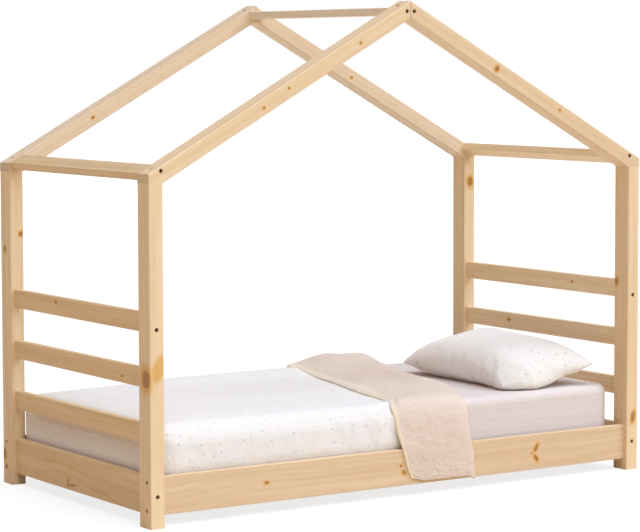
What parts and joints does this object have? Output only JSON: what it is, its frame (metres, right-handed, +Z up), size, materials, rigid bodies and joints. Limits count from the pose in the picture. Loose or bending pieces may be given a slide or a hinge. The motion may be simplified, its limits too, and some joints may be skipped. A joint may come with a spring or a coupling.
{
  "type": "house frame bed",
  "caption": "Low child's bed with a pitched open roof frame, slatted ends and base, mattress, folded-back duvet and pillow.",
  "frame": {"origin": "on the floor, midway between the four posts", "axes": "+X along the bed towards the pillow end, +Y across it towards the back, +Z up; the front long side faces -Y"},
  "size_m": [1.66, 0.86, 1.378],
  "materials": {
    "pine_frame": "clear matt lacquer over pale pine with open grain and a few knots",
    "pine_base": "planed, unfinished pine",
    "beech_dowel": "fluted, unfinished",
    "zinc_fastener": "bright zinc plate, satin",
    "webbing": "woven polyester tape",
    "mattress_ticking": "knitted ticking over foam",
    "sheet_cotton": "plain woven cotton, matt",
    "duvet_cotton": "printed cotton, matt: white with a scatter of small grey and gold dots, beige reverse with white dots, cream hem",
    "pillow_cotton": "printed cotton, matt: off-white with a scatter of small grey and gold dots"
  },
  "bodies": {
    "frame": {"apex_bolts": "zinc_fastener", "barrel_nuts": "zinc_fastener", "bed_slat_01": "pine_base", "bed_slat_02": "pine_base", "bed_slat_03": "pine_base", "bed_slat_04": "pine_base", "bed_slat_05": "pine_base", "bed_slat_06": "pine_base", "bed_slat_07": "pine_base", "bed_slat_08": "pine_base", "bed_slat_09": "pine_base", "bed_slat_10": "pine_base", "bed_slat_11": "pine_base", "bed_slat_12": "pine_base", "bed_slat_screws": "zinc_fastener", "dowels": "beech_dowel", "eaves_beam_bolts": "zinc_fastener", "eaves_beam_left": "pine_frame", "eaves_beam_right": "pine_frame", "end_board_bolts": "zinc_fastener", "end_rail_left": "pine_frame", "end_rail_right": "pine_frame", "end_slat_left_low": "pine_frame", "end_slat_left_middle": "pine_frame", "end_slat_left_top": "pine_frame", "end_slat_right_low": "pine_frame", "end_slat_right_middle": "pine_frame", "end_slat_right_top": "pine_frame", "ledger_screws": "zinc_fastener", "post_back_left": "pine_frame", "post_back_right": "pine_frame", "post_front_left": "pine_frame", "post_front_right": "pine_frame", "rafter_back_left": "pine_frame", "rafter_back_right": "pine_frame", "rafter_foot_bolts": "zinc_fastener", "rafter_front_left": "pine_frame", "rafter_front_right": "pine_frame", "ridge_beam": "pine_frame", "ridge_beam_bolts": "zinc_fastener", "side_rail_back": "pine_frame", "side_rail_bolts": "zinc_fastener", "side_rail_front": "pine_frame", "slat_ledger_back": "pine_base", "slat_ledger_front": "pine_base", "slat_webbing_back": "webbing", "slat_webbing_front": "webbing"},
    "mattress": {"mattress": "mattress_ticking", "fitted_sheet": "sheet_cotton"},
    "duvet": {"duvet": "duvet_cotton"},
    "pillow": {"pillow": "pillow_cotton"}
  },
  "joints": [
    {"name": "mattress_lift", "type": "slide", "parent": "frame", "child": "mattress", "axis": [0, 0, 1], "range_m": [0, 0.25]},
    {"name": "duvet_lift", "type": "slide", "parent": "mattress", "child": "duvet", "axis": [0, 0, 1], "range_m": [0, 0.2]},
    {"name": "pillow_lift", "type": "slide", "parent": "mattress", "child": "pillow", "axis": [0, 0, 1], "range_m": [0, 0.2]}
  ]
}
